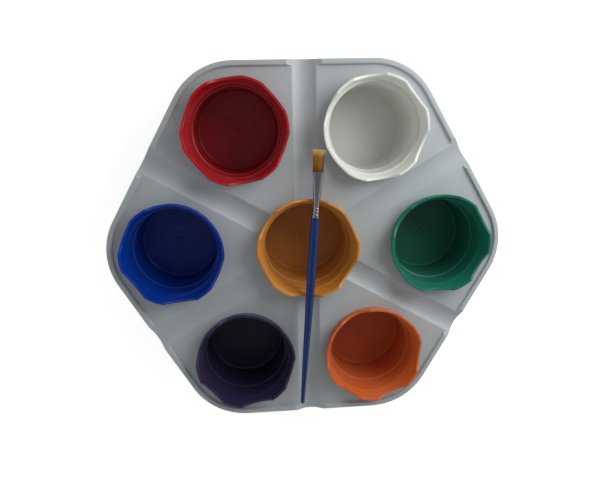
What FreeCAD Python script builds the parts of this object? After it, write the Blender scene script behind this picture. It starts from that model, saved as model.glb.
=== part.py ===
import FreeCAD, Part
import os
from math import atan2, radians, sqrt

import Sketcher
from FreeCAD import Placement, Rotation, Vector

# Paint caddy: a hexagonal tray on a skirt, seven lift-out cups that hang in it by their collars,
# and a flat brush that lies in two dips of the middle cup's rim.
# Millimetres and degrees. +Z is up, z = 0 is the table, and the middle cup's axis is the Z axis.

SIZES = (
    ("cup_gap", 22, "between the rims of neighbouring cups"),
    ("edge_margin", 9.9, "from an outer cup's rim to the tray's edge"),
    ("cup_lift", 1.6, "foot of a cup above the table"),
    ("tray_wall", 2, "thickness of the deck, the skirt and the grooves"),
    ("skirt_draft", 1, "degrees by which the skirt widens towards the table"),
    ("bead_width", 4, "bead round the deck's edge"),
    ("bead_height", 1.8, "bead above the deck"),
    ("bead_round", 1.2, "rounding of the bead's upper edges"),
    ("bead_foot", 0.6, "rounding where the bead meets the deck"),
    ("bead_slope", 30, "degrees at which the bead's ends run down to a groove"),
    ("groove_width", 16, "brush groove at the deck, without its rounded edges"),
    ("groove_depth", 2.8, "brush groove below the deck"),
    ("groove_edge", 1.5, "rounding along the brush groove's edges"),
    ("socket_drop", 7, "turned-down lip round a cup's hole, below the deck's upper face"),
    ("socket_wall", 1.8, "thickness of that lip"),
    ("socket_clearance", 0.4, "between a cup and its hole, all round"),
    ("rim_radius", 36, "cup, outside of the rim"),
    ("collar_height", 12, "cup rim above the deck"),
    ("collar_flare", 2.4, "by which the collar widens from the deck to the rim"),
    ("collar_wall", 1.8, "thickness of the collar"),
    ("ledge_width", 1.4, "ledge under the collar, which lies on the deck"),
    ("cup_wall", 1.5, "thickness of the cup below the collar"),
    ("cup_draft", 1.8, "degrees by which the cup narrows downwards"),
    ("cup_depth", 51, "inside floor below the rim"),
    ("cup_floor", 1.6, "thickness of the floor"),
    ("cup_corner", 1.5, "rounding between the floor and the wall, inside"),
    ("step_drop", 24, "ledge in the wall below the rim"),
    ("step_width", 0.6, "width of that ledge"),
    ("foot_height", 0.8, "foot ring below the floor"),
    ("foot_width", 2.4, "width of the foot ring"),
    ("gate_radius", 1.8, "small raised disc in the middle of the floor"),
    ("gate_height", 0.5, "height of that disc"),
    ("dip_radius", 16, "arc of a dip in the rim"),
    ("dip_sill", 7.5, "collar that is left below a dip"),
    ("lobe_round", 1.2, "corners between the rim's lobes and dips"),
    ("rim_round", 0.5, "edges of the rim"),
    ("brush_heading", 85.1, "degrees from +X to the way the tuft points"),
    ("brush_aside", 3, "brush to the right of the middle cup's axis"),
    ("tuft_gap", 0.6, "between the tuft's tip and the nearest outer cup's rim"),
    ("brush_clearance", 0.3, "between the brush and the dips that it lies in"),
    ("handle_length", 139, "handle behind the ferrule"),
    ("handle_step", 0.15, "by which the handle stands out beside the ferrule"),
    ("handle_swell", 0.3, "by which the handle's radius grows to its belly"),
    ("belly_length", 60, "stretch of the handle that swells"),
    ("handle_end", 1.5, "radius of the handle's rounded end"),
    ("ferrule_length", 31.3, "ferrule"),
    ("ferrule_radius", 2.75, "ferrule at its back end, outside"),
    ("ferrule_wall", 0.35, "thickness of the ferrule's sheet"),
    ("neck_station", 11, "where the ferrule starts to flatten"),
    ("ferrule_taper", 0.45, "by which the ferrule's radius shrinks up to there"),
    ("mouth_width", 7.6, "ferrule's flat mouth, outside"),
    ("mouth_thickness", 3.2, "ferrule's flat mouth, outside"),
    ("crimp_station", 2.6, "first crimp from the ferrule's back end"),
    ("crimp_spacing", 2.2, "between the crimps"),
    ("crimp_depth", 0.18, "crimp below the ferrule's surface"),
    ("crimp_radius", 0.6, "section of a crimp"),
    ("tuft_length", 14.8, "bristles outside the ferrule"),
    ("tuft_root", 9, "bristles inside the ferrule"),
    ("tuft_tip_width", 8.2, "bristles at the tip"),
    ("tuft_tip_thickness", 1.4, "bristles at the tip"),
    ("brush_fit", 0.05, "between the ferrule and what it holds"),
)

# Name, direction of the seat from the tray's middle, and how far the cup is turned in it.
CUPS = (
    ("yellow_cup", None, -4),
    ("green_cup", 0, -1),
    ("white_cup", 60, 8),
    ("red_cup", 120, 9),
    ("blue_cup", 180, 6),
    ("purple_cup", 240, 12),
    ("orange_cup", 300, 24.5),
)
TUFT_NEIGHBOUR = 60
FULL_TURN = 360
QUARTER_TURN = 90
SIDES = 6
SIDE_ANGLE = FULL_TURN / SIDES
CRIMPS = 3
CUT_SPARE = 1
ROUND_SHARE, FOOT_SHARE = 0.65, 0.33
SMALL = 1e-6
WALL_TOLERANCE = 0.05
START, END, CENTRE = 1, 2, 3
ROOT_POINT = (-1, 1)
X_AXIS_LINE, Y_AXIS_LINE = -1, -2
LEFT, RIGHT = 1, -1

# What follows from the sizes
PITCH = "(2 * sizes.rim_radius + sizes.cup_gap)"
CORNER_RADIUS = "(sizes.rim_radius + sizes.edge_margin)"
HALF_ACROSS_FLATS = f"({PITCH} * cos({SIDE_ANGLE / 2} deg) + {CORNER_RADIUS})"
FLOOR_UNDERSIDE = "(sizes.cup_depth + sizes.cup_floor)"
FOOT_DROP = f"({FLOOR_UNDERSIDE} + sizes.foot_height)"
RIM_HEIGHT = f"({FOOT_DROP} + sizes.cup_lift)"
DECK = f"({RIM_HEIGHT} - sizes.collar_height)"
COLLAR_FOOT = "(sizes.rim_radius - sizes.collar_flare)"
RIM_INSIDE = "(sizes.rim_radius - sizes.collar_wall)"
SHOULDER_DROP = "(sizes.collar_height - sizes.cup_wall)"
DIP_DEPTH = "(sizes.collar_height - sizes.dip_sill)"
NECK_RADIUS = f"({COLLAR_FOOT} - sizes.ledge_width)"
CUP_SLOPE = "tan(sizes.cup_draft)"
HOLE_RADIUS = f"({NECK_RADIUS} + sizes.socket_clearance)"
GROOVE_ARC = "((sizes.groove_width ^ 2 / 4 + sizes.groove_depth ^ 2) / (2 * sizes.groove_depth))"
FERRULE_NECK = "(sizes.ferrule_radius - sizes.ferrule_taper)"
HANDLE_SHOULDER = "(sizes.ferrule_radius + sizes.handle_step)"
ROOT_STATION = "(sizes.ferrule_length - sizes.tuft_root)"

doc = FreeCAD.newDocument("paint_caddy")
sheet = doc.addObject("Spreadsheet::Sheet", "sizes")
for row, (alias, size, note) in enumerate(SIZES, 1):
    sheet.set(f"A{row}", note)
    sheet.set(f"B{row}", str(size))
    sheet.setAlias(f"B{row}", alias)
doc.recompute()


# Formulas and sketches

def value(formula):
    """Works out a formula of the sheet's sizes."""
    result = sheet.evalExpression(formula)
    return float(getattr(result, "Value", result))


def origin_part(body, role):
    return next(part for part in body.Origin.OriginFeatures if part.Role == role)


def new_sketch(body, name, plane, offset="0"):
    """Puts a sketch on one of the body's own planes, moved along its normal by a formula."""
    sketch = body.newObject("Sketcher::SketchObject", name)
    sketch.AttachmentSupport = [(origin_part(body, plane), "")]
    sketch.MapMode = "FlatFace"
    sketch.setExpression("AttachmentOffset.Base.z", offset)
    return sketch


def bind(sketch, constraint, formula):
    index = sketch.addConstraint(constraint)
    sketch.setExpression(f"Constraints[{index}]", formula)


def pin_point(sketch, edge, end, x, y):
    """Ties a point of an edge to a place in the sketch."""
    for direction, axis_line, formula in (("DistanceX", Y_AXIS_LINE, x), ("DistanceY", X_AXIS_LINE, y)):
        distance = value(formula)
        if abs(distance) < SMALL:
            sketch.addConstraint(Sketcher.Constraint("PointOnObject", edge, end, axis_line))
        else:
            bind(sketch, Sketcher.Constraint(direction, *ROOT_POINT, edge, end, distance), formula)


def arc_between(start, finish, radius, turn):
    chord = finish - start
    aside = Vector(-chord.y, chord.x, 0).normalize() * turn
    centre = (start + finish) / 2 + aside * sqrt(radius ** 2 - (chord.Length / 2) ** 2)
    ends = (start, finish) if turn == LEFT else (finish, start)
    angles = [atan2(point.y - centre.y, point.x - centre.x) for point in ends]
    return Part.ArcOfCircle(Part.Circle(centre, Vector(0, 0, 1), radius), *angles)


def draw_path(sketch, path):
    """Draws a closed path. A corner is two formulas, and one that starts an arc adds its radius and turn."""
    places = [Vector(value(corner[0]), value(corner[1]), 0) for corner in path]
    edges = []
    for corner, start, finish in zip(path, places, places[1:] + places[:1]):
        if len(corner) == 2:
            edges.append((sketch.addGeometry(Part.LineSegment(start, finish)), START, END))
            continue
        radius, turn = corner[2:]
        edge = sketch.addGeometry(arc_between(start, finish, value(radius), turn))
        bind(sketch, Sketcher.Constraint("Radius", edge, value(radius)), radius)
        edges.append((edge, START, END) if turn == LEFT else (edge, END, START))
    for corner, (edge, first, last), (following, joined, _) in zip(path, edges, edges[1:] + edges[:1]):
        pin_point(sketch, edge, first, corner[0], corner[1])
        sketch.addConstraint(Sketcher.Constraint("Coincident", edge, last, following, joined))


def draw_circle(sketch, x, y, radius):
    edge = sketch.addGeometry(Part.Circle(Vector(value(x), value(y), 0), Vector(0, 0, 1), value(radius)))
    bind(sketch, Sketcher.Constraint("Radius", edge, value(radius)), radius)
    pin_point(sketch, edge, CENTRE, x, y)


# Features of a body

def add_profile_feature(body, kind, name, sketch, **settings):
    """Adds a feature made from a sketch. A setting given as text is a formula."""
    feature = body.newObject(f"PartDesign::{kind}", name)
    feature.Profile = sketch
    for setting, choice in settings.items():
        if isinstance(choice, str):
            feature.setExpression(setting, choice)
        else:
            setattr(feature, setting, choice)
    doc.recompute()
    return feature


def cut_pocket(body, name, sketch, **settings):
    """Adds a pocket, and makes sure that it takes something away."""
    before = body.Shape.Volume
    feature = add_profile_feature(body, "Pocket", name, sketch, **settings)
    if feature.Shape.Volume > before - SMALL:
        raise RuntimeError(f"{name} cuts nothing")
    return feature


def repeat_round(body, name, features):
    """Repeats features once for each side of the tray, or each dip of a rim."""
    pattern = body.newObject("PartDesign::PolarPattern", name)
    pattern.Originals = features
    pattern.Axis = (origin_part(body, "Z_Axis"), [""])
    pattern.Angle = FULL_TURN
    pattern.Occurrences = SIDES
    body.Tip = pattern
    doc.recompute()
    return pattern


def round_edges(body, name, wanted, radius):
    """Rounds the edges of the body so far for which wanted(edge) is true."""
    base = body.Tip
    names = [f"Edge{index}" for index, edge in enumerate(base.Shape.Edges, 1) if wanted(edge)]
    if not names:
        raise RuntimeError(f"{name} found no edges")
    fillet = body.newObject("PartDesign::Fillet", name)
    fillet.Base = (base, names)
    fillet.setExpression("Radius", radius)
    doc.recompute()
    return fillet


def middle_of(edge):
    return edge.valueAt((edge.FirstParameter + edge.LastParameter) / 2)


# Tray

def draw_hexagon(sketch, inset):
    """Draws the tray's outline, drawn in by a formula. Its corners are round about the outer cups' axes."""
    radius = f"({CORNER_RADIUS} - {inset})"
    path = []
    for side in range(SIDES):
        angle = side * SIDE_ANGLE
        for bearing in (angle - SIDE_ANGLE / 2, angle + SIDE_ANGLE / 2):
            x = f"{PITCH} * cos({angle} deg) + {radius} * cos({bearing} deg)"
            y = f"{PITCH} * sin({angle} deg) + {radius} * sin({bearing} deg)"
            path.append((x, y, radius, LEFT) if bearing < angle else (x, y))
    draw_path(sketch, path)


def seat_of(bearing):
    """Place of a cup's axis, as two formulas."""
    if bearing is None:
        return "0", "0"
    return f"{PITCH} * cos({bearing} deg)", f"{PITCH} * sin({bearing} deg)"


def draw_seats(sketch, radius):
    for _, bearing, _ in CUPS:
        draw_circle(sketch, *seat_of(bearing), radius)


def groove_half(growth):
    """Half the width of a groove's arc, grown by a formula, at that much below the deck."""
    return f"sqrt(sizes.groove_depth * (2 * ({GROOVE_ARC} + {growth}) - sizes.groove_depth))"


def draw_groove(sketch):
    """Draws the round hollow of a brush groove, and above it the gap that it leaves in the bead."""
    edge = groove_half("sizes.groove_edge")
    share = f"({GROOVE_ARC} / ({GROOVE_ARC} + sizes.groove_edge))"
    touch = f"{edge} * {share}"
    centre_rise = f"({GROOVE_ARC} - sizes.groove_depth)"
    touch_height = f"{DECK} + {centre_rise} * (1 - {share}) - sizes.groove_edge * {share}"
    clear = f"(sizes.bead_height + {CUT_SPARE})"
    gap = f"{edge} + {clear} / tan(sizes.bead_slope)"
    draw_path(sketch, (
        (f"-{edge}", DECK, "sizes.groove_edge", RIGHT),
        (f"-{touch}", touch_height, GROOVE_ARC, LEFT),
        (touch, touch_height, "sizes.groove_edge", RIGHT),
        (edge, DECK),
        (gap, f"{DECK} + {clear}"),
        (f"-({gap})", f"{DECK} + {clear}"),
    ))


def draw_groove_underside(sketch):
    """Draws the channel that closes a brush groove below, one wall larger than its hollow."""
    half = groove_half("sizes.tray_wall")
    draw_path(sketch, (
        (f"-{half}", f"{DECK} - sizes.tray_wall", f"{GROOVE_ARC} + sizes.tray_wall", LEFT),
        (half, f"{DECK} - sizes.tray_wall"),
        (half, f"{DECK} - sizes.tray_wall / 2"),
        (f"-{half}", f"{DECK} - sizes.tray_wall / 2"),
    ))


def is_bead_foot(edge):
    """True for the edges, straight and round, where the bead's inner side meets the deck."""
    middle = middle_of(edge)
    reach = sqrt(middle.x ** 2 + middle.y ** 2)
    flat = value(f"{HALF_ACROSS_FLATS} - sizes.bead_width")
    corner = value(f"{PITCH} + {CORNER_RADIUS} - sizes.bead_width")
    return abs(middle.z - value(DECK)) < SMALL and min(abs(reach - flat), abs(reach - corner)) < SMALL


def make_tray():
    body = doc.addObject("PartDesign::Body", "tray")

    outline = new_sketch(body, "tray_outline", "XY_Plane", DECK)
    draw_hexagon(outline, "0")
    add_profile_feature(body, "Pad", "skirt", outline, Reversed=True, Length=DECK,
                        TaperAngle="sizes.skirt_draft")

    bead = new_sketch(body, "bead_outline", "XY_Plane", DECK)
    draw_hexagon(bead, "0")
    draw_hexagon(bead, "sizes.bead_width")
    add_profile_feature(body, "Pad", "bead", bead, Length="sizes.bead_height")
    bead_top = value(f"{DECK} + sizes.bead_height")
    round_edges(body, "bead_edges", lambda edge: abs(middle_of(edge).z - bead_top) < SMALL,
                f"min(sizes.bead_round; sizes.bead_height * {ROUND_SHARE})")
    round_edges(body, "bead_foot_edges", is_bead_foot,
                f"min(sizes.bead_foot; sizes.bead_height * {FOOT_SHARE})")

    cavity = new_sketch(body, "cavity_outline", "XY_Plane", f"{DECK} - sizes.tray_wall")
    draw_hexagon(cavity, "sizes.tray_wall")
    cut_pocket(body, "cavity", cavity, Length=DECK, TaperAngle="sizes.skirt_draft")

    under = new_sketch(body, "groove_underside", "XZ_Plane")
    draw_groove_underside(under)
    channel = add_profile_feature(body, "Pad", "groove_channel", under, Reversed=True,
                                  Length=f"{HALF_ACROSS_FLATS} - sizes.tray_wall / 2")
    repeat_round(body, "groove_channels", [channel])

    hollow = new_sketch(body, "groove_hollow", "XZ_Plane")
    draw_groove(hollow)
    groove = cut_pocket(body, "groove", hollow, Length=f"{HALF_ACROSS_FLATS} + {CUT_SPARE}")
    repeat_round(body, "grooves", [groove])

    lips = new_sketch(body, "socket_lip_outlines", "XY_Plane", DECK)
    draw_seats(lips, f"{HOLE_RADIUS} + sizes.socket_wall")
    add_profile_feature(body, "Pad", "socket_lips", lips, Reversed=True, Length="sizes.socket_drop")

    holes = new_sketch(body, "hole_outlines", "XY_Plane", DECK)
    draw_seats(holes, HOLE_RADIUS)
    cut_pocket(body, "holes", holes, Length=DECK)
    return body


# Cups

def cup_radius(drop):
    """Outside of the cup between its collar and its ledge, a distance below the rim."""
    return f"({NECK_RADIUS} - ({drop} - sizes.collar_height) * {CUP_SLOPE})"


def lower_radius(drop):
    """Outside of the cup below its ledge."""
    return f"({cup_radius(drop)} - sizes.step_width)"


def draw_cup(sketch):
    """Draws half the cup's section: up the inside from the floor, over the rim and down the outside."""
    inside = [
        ("0", "sizes.gate_height - sizes.cup_depth"),
        ("sizes.gate_radius", "sizes.gate_height - sizes.cup_depth"),
        ("sizes.gate_radius + sizes.gate_height", "-sizes.cup_depth"),
        (f"{lower_radius('sizes.cup_depth')} - sizes.cup_wall - sizes.cup_corner", "-sizes.cup_depth",
         "sizes.cup_corner", LEFT),
        (f"{lower_radius('sizes.cup_depth')} - sizes.cup_wall", "sizes.cup_corner - sizes.cup_depth"),
        (f"{lower_radius('sizes.step_drop')} - sizes.cup_wall", "-sizes.step_drop"),
        (f"{cup_radius('sizes.step_drop')} - sizes.cup_wall", "sizes.step_width / 2 - sizes.step_drop"),
        (f"{cup_radius(SHOULDER_DROP)} - sizes.cup_wall", f"-{SHOULDER_DROP}"),
        (f"{COLLAR_FOOT} - sizes.collar_wall", f"-{SHOULDER_DROP}"),
        (RIM_INSIDE, "0"),
    ]
    outside = [
        ("sizes.rim_radius", "0"),
        (COLLAR_FOOT, "-sizes.collar_height"),
        (NECK_RADIUS, "-sizes.collar_height"),
        (cup_radius("sizes.step_drop"), "-sizes.step_drop - sizes.cup_wall"),
        (lower_radius("sizes.step_drop"), "-sizes.step_drop - sizes.cup_wall - sizes.step_width / 2"),
        (lower_radius(FOOT_DROP), f"-{FOOT_DROP}"),
        (f"{lower_radius(FOOT_DROP)} - sizes.foot_width", f"-{FOOT_DROP}"),
        (f"{lower_radius(FOOT_DROP)} - sizes.foot_width - sizes.foot_height", f"-{FLOOR_UNDERSIDE}"),
        ("0", f"-{FLOOR_UNDERSIDE}"),
    ]
    draw_path(sketch, inside + outside)


def is_lobe_corner(edge):
    """True for the short straight edges where the flat of the rim meets a dip."""
    return isinstance(edge.Curve, Part.Line) and all(abs(vertex.Z) < SMALL for vertex in edge.Vertexes)


def is_rim_edge(edge):
    """True for the edges round the rim, inside and outside, over lobes and dips alike."""
    if isinstance(edge.Curve, Part.Line):
        return False
    middle = middle_of(edge)
    reach = sqrt(middle.x ** 2 + middle.y ** 2)
    flare = value("sizes.collar_flare / sizes.collar_height")
    shoulder_flare = value(f"sizes.collar_flare / {SHOULDER_DROP}")
    outside = value("sizes.rim_radius") + middle.z * flare
    inside = value(RIM_INSIDE) + middle.z * shoulder_flare
    on_wall = min(abs(reach - outside), abs(reach - inside)) < WALL_TOLERANCE
    return on_wall and middle.z > -value(DIP_DEPTH) - SMALL


def make_cup(name, bearing, turn):
    body = doc.addObject("PartDesign::Body", name)
    section = new_sketch(body, f"{name}_section", "XZ_Plane")
    draw_cup(section)
    add_profile_feature(body, "Revolution", f"{name}_wall", section,
                        ReferenceAxis=(section, ["V_Axis"]), Angle=FULL_TURN)

    scallop = new_sketch(body, f"{name}_scallop", "XZ_Plane")
    draw_circle(scallop, "0", f"sizes.dip_radius - {DIP_DEPTH}", "sizes.dip_radius")
    dip = cut_pocket(body, f"{name}_dip", scallop, Length=f"sizes.rim_radius + {CUT_SPARE}")
    repeat_round(body, f"{name}_dips", [dip])
    round_edges(body, f"{name}_lobes", is_lobe_corner, "sizes.lobe_round")
    round_edges(body, f"{name}_rim", is_rim_edge, "sizes.rim_round")

    x, y = seat_of(bearing)
    body.Placement = Placement(Vector(0, 0, 0), Rotation(Vector(0, 0, 1), turn))
    body.setExpression("Placement.Base.x", x)
    body.setExpression("Placement.Base.y", y)
    body.setExpression("Placement.Base.z", RIM_HEIGHT)
    return body


# Brush: its own Z axis runs from the ferrule's back end to the tuft, and its Y axis is the thin way

def brush_section(station):
    """Half width and half thickness of the ferrule's outside, a formula's distance from its back end."""
    share = f"(({station} - sizes.neck_station) / (sizes.ferrule_length - sizes.neck_station))"
    return (f"{FERRULE_NECK} + {share} * (sizes.mouth_width / 2 - {FERRULE_NECK})",
            f"{FERRULE_NECK} + {share} * (sizes.mouth_thickness / 2 - {FERRULE_NECK})")


def add_ellipse(name, station, half_width, half_thickness):
    ellipse = doc.addObject("Part::Ellipse", name)
    wide = value(half_width) >= value(half_thickness)
    ellipse.setExpression("MajorRadius", half_width if wide else half_thickness)
    ellipse.setExpression("MinorRadius", half_thickness if wide else half_width)
    ellipse.setExpression("Placement.Base.z", station)
    return ellipse


def add_loft(name, sections):
    loft = doc.addObject("Part::Loft", name)
    loft.Sections = sections
    loft.Solid = True
    return loft


def add_cone(name, station, height, first_radius, last_radius):
    cone = doc.addObject("Part::Cone", name)
    cone.setExpression("Height", height)
    cone.setExpression("Radius1", first_radius)
    cone.setExpression("Radius2", last_radius)
    cone.setExpression("Placement.Base.z", station)
    return cone


def add_boolean(kind, name, base, tool):
    result = doc.addObject(f"Part::{kind}", name)
    result.Base = base
    result.Tool = tool
    return result


def add_ferrule_form(name, inset):
    """Round tube that flattens into a wide mouth, drawn in by a formula all round."""
    half_width, half_thickness = (f"{size} - {inset}" for size in brush_section("sizes.ferrule_length"))
    neck_radius = f"{FERRULE_NECK} - {inset}"
    tube = add_cone(f"{name}_tube", "0", "sizes.neck_station", f"sizes.ferrule_radius - {inset}", neck_radius)
    neck = add_ellipse(f"{name}_neck", "sizes.neck_station", neck_radius, neck_radius)
    mouth = add_ellipse(f"{name}_mouth", "sizes.ferrule_length", half_width, half_thickness)
    return add_boolean("Fuse", name, tube, add_loft(f"{name}_flat", [neck, mouth]))


def tube_radius(station):
    """Outside of the ferrule's round stretch."""
    return f"(sizes.ferrule_radius - sizes.ferrule_taper * {station} / sizes.neck_station)"


def make_ferrule():
    sheet_tube = add_boolean("Cut", "ferrule_sheet", add_ferrule_form("ferrule_outside", "0"),
                             add_ferrule_form("ferrule_inside", "sizes.ferrule_wall"))
    for index in range(CRIMPS):
        station = f"(sizes.crimp_station + {index} * sizes.crimp_spacing)"
        ring = doc.addObject("Part::Torus", f"crimp_{index}")
        ring.setExpression("Radius1", f"{tube_radius(station)} - sizes.crimp_depth + sizes.crimp_radius")
        ring.setExpression("Radius2", "sizes.crimp_radius")
        ring.setExpression("Placement.Base.z", station)
        sheet_tube = add_boolean("Cut", f"ferrule_crimped_{index}", sheet_tube, ring)
    return sheet_tube


def make_handle():
    """Turned handle: a tenon in the ferrule, a slight belly, then a long taper to a rounded end."""
    body = doc.addObject("PartDesign::Body", "brush_handle")
    section = new_sketch(body, "handle_section", "XZ_Plane")
    bore = "sizes.ferrule_wall - sizes.brush_fit"
    tenon_end = "sizes.neck_station - sizes.brush_fit"
    belly_arc = "(sizes.belly_length ^ 2 / 4 + sizes.handle_swell ^ 2) / (2 * sizes.handle_swell)"
    draw_path(section, (
        ("0", "-sizes.handle_length", "sizes.handle_end", LEFT),
        ("sizes.handle_end", "sizes.handle_end - sizes.handle_length"),
        (HANDLE_SHOULDER, "-sizes.brush_fit - sizes.belly_length", belly_arc, LEFT),
        (HANDLE_SHOULDER, "-sizes.brush_fit"),
        (f"sizes.ferrule_radius - {bore}", "-sizes.brush_fit"),
        (f"{FERRULE_NECK} - {bore}", tenon_end),
        ("0", tenon_end),
    ))
    add_profile_feature(body, "Revolution", "handle_turning", section,
                        ReferenceAxis=(section, ["V_Axis"]), Angle=FULL_TURN)
    return body


def inner_section(station):
    """Half width and half thickness of what the ferrule holds, a formula's distance from its back end."""
    return (f"{size} - sizes.ferrule_wall - sizes.brush_fit" for size in brush_section(station))


def make_glue_plug():
    """Set glue that fills the ferrule from its neck to the bristles' roots."""
    back = add_ellipse("glue_back", "sizes.neck_station", *inner_section("sizes.neck_station"))
    front_station = f"{ROOT_STATION} - sizes.brush_fit"
    front = add_ellipse("glue_front", front_station, *inner_section(front_station))
    return add_loft("glue_plug", [back, front])


def make_tuft():
    """Flat tuft: roots in the ferrule, then bristles that spread in width and thin out to the tip."""
    root = add_ellipse("tuft_root_end", ROOT_STATION, *inner_section(ROOT_STATION))
    mouth = add_ellipse("tuft_mouth", "sizes.ferrule_length", *inner_section("sizes.ferrule_length"))
    tip = add_ellipse("tuft_tip", "sizes.ferrule_length + sizes.tuft_length",
                      "sizes.tuft_tip_width / 2", "sizes.tuft_tip_thickness / 2")
    roots = add_loft("tuft_roots", [root, mouth])
    bristles = add_loft("tuft_bristles", [mouth, tip])
    return add_boolean("Fuse", "tuft", roots, bristles)


def dip_seat(half_size, sideways):
    """Height of the brush's axis from the rim, where it lies in a dip off the dip's middle line."""
    reach = value("sizes.dip_radius - sizes.brush_clearance") - half_size
    return value(f"sizes.dip_radius - {DIP_DEPTH}") - sqrt(reach ** 2 - sideways ** 2)


def handle_radius(drop):
    """Radius of the handle, a distance behind the ferrule."""
    shoulder = value(HANDLE_SHOULDER)
    belly = value("sizes.belly_length")
    if drop < belly:
        return shoulder + value("sizes.handle_swell") * (1 - (2 * drop / belly - 1) ** 2)
    share = (drop - belly) / (value("sizes.handle_length") - belly)
    return shoulder + share * (value("sizes.handle_end") - shoulder)


def tuft_reach(along, across):
    """How far the tuft's tip lies from the middle cup's axis, stopping short of the nearest outer cup."""
    corner = across * value("sizes.brush_aside + sizes.tuft_tip_width / 2")
    x, y = seat_of(TUFT_NEIGHBOUR)
    to_cup = Vector(value(x), value(y), 0) - corner
    clear = value("sizes.rim_radius + sizes.tuft_gap")
    return to_cup.dot(along) - sqrt(clear ** 2 - to_cup.dot(across) ** 2)


def brush_placement(cup_turn):
    """Lays the brush in two opposite dips of the middle cup."""
    heading = value("sizes.brush_heading")
    along = Rotation(Vector(0, 0, 1), heading).multVec(Vector(1, 0, 0))
    across = Vector(along.y, -along.x, 0)
    aside = value("sizes.brush_aside")
    back_end = tuft_reach(along, across) - value("sizes.tuft_length + sizes.ferrule_length")
    lean = f"sizes.collar_flare * {DIP_DEPTH} / sizes.collar_height"
    wall = value(f"sizes.rim_radius - {lean} - sizes.collar_wall / 2")
    support = sqrt(wall ** 2 - aside ** 2)
    swerve = wall * radians(heading - QUARTER_TURN - cup_turn)
    front = dip_seat(value(brush_section(str(support - back_end))[1]), aside - swerve)
    rear = dip_seat(handle_radius(support + back_end), aside + swerve)
    rim_middle = Vector(0, 0, value(RIM_HEIGHT))
    front_point = rim_middle + across * aside + along * support + Vector(0, 0, front)
    rear_point = rim_middle + across * aside - along * support + Vector(0, 0, rear)
    axis = (front_point - rear_point).normalize()
    base = front_point - axis * (support - back_end)
    return Placement(base, Rotation(across, axis.cross(across), axis, "ZXY"))


def make_brush(cup_turn):
    placement = brush_placement(cup_turn)
    pieces = {
        "brush_handle": make_handle(),
        "brush_ferrule": make_ferrule(),
        "brush_glue_plug": make_glue_plug(),
        "brush_tuft": make_tuft(),
    }
    for piece in pieces.values():
        piece.Placement = placement
    return pieces


# Assembly and files

nodes = {"tray": make_tray()}
for cup_name, cup_bearing, cup_turn in CUPS:
    nodes[cup_name] = make_cup(cup_name, cup_bearing, cup_turn)
nodes.update(make_brush(CUPS[0][2]))
for node_name, node in nodes.items():
    node.Label = node_name
doc.recompute()

for item in doc.Objects:
    if {"Invalid", "Error"} & set(item.State):
        raise RuntimeError(f"{item.Name} failed: {item.State}")
for node_name, node in nodes.items():
    shape = node.Shape
    if shape.isNull() or not shape.isValid() or len(shape.Solids) != 1:
        raise RuntimeError(f"{node_name} is no single sound solid")

os.makedirs("parts", exist_ok=True)
for node_name, node in nodes.items():
    node.Shape.exportStep(f"parts/{node_name}.step")
    print(node_name, round(node.Shape.Volume), "cubic mm")
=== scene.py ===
import random
from math import cos, pi, radians, sin, sqrt, tau

import bmesh
import bpy
from bpy.props import FloatProperty, FloatVectorProperty, IntProperty, PointerProperty
from mathutils import Matrix, Quaternion, Vector


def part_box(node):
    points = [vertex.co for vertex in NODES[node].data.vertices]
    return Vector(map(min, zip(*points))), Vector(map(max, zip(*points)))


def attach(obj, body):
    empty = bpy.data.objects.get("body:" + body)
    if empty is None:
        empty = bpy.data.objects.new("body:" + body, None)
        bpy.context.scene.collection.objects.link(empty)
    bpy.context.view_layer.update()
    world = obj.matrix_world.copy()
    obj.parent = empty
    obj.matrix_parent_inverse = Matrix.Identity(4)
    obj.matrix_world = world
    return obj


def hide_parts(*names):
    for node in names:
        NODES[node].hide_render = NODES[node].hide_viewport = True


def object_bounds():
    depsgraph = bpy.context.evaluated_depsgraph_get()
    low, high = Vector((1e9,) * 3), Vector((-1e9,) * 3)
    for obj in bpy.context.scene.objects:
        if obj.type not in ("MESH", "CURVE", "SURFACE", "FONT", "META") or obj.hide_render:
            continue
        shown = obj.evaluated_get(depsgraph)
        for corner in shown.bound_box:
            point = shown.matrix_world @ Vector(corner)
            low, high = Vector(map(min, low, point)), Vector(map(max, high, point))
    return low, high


bl_info = {
    "name": "Paint Caddy",
    "version": (1, 0, 0),
    "blender": (4, 5, 0),
    "location": "3D View > Sidebar > Caddy",
    "description": "Dresses a hexagonal paint caddy with seven lift-out cups and a flat brush",
    "category": "Object",
}

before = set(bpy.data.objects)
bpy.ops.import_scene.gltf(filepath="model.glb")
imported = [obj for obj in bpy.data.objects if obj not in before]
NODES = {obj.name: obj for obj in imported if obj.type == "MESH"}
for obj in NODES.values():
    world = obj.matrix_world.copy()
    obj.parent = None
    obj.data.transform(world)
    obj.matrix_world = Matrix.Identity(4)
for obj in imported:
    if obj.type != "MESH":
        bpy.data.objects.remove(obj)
CAD_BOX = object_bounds()
CUP_NAMES = ("red_cup", "white_cup", "green_cup", "orange_cup", "purple_cup", "blue_cup", "yellow_cup")
UP = Vector((0, 0, 1))
TABLE_AHEAD = Vector((0, 1, 0))
GOLDEN_ANGLE = pi * (3 - sqrt(5))
MILLIMETRE = 0.001


# Values that a user would change

def linear(*chart):
    """Turns a colour from a paint chart, 0 to 255, into linear light."""
    levels = [channel / 255 for channel in chart]
    return tuple(level / 12.92 if level <= 0.04045 else ((level + 0.055) / 1.055) ** 2.4 for level in levels)


def pigment(name, description, *chart):
    return FloatVectorProperty(name=name, description=description, default=linear(*chart),
                               subtype="COLOR", size=3, min=0, max=1)


def length(name, description, millimetres):
    return FloatProperty(name=name, description=description, default=millimetres * MILLIMETRE,
                         subtype="DISTANCE", unit="LENGTH", min=0, precision=5)


def share(name, description, default):
    return FloatProperty(name=name, description=description, default=default, subtype="FACTOR", min=0, max=1)


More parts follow.
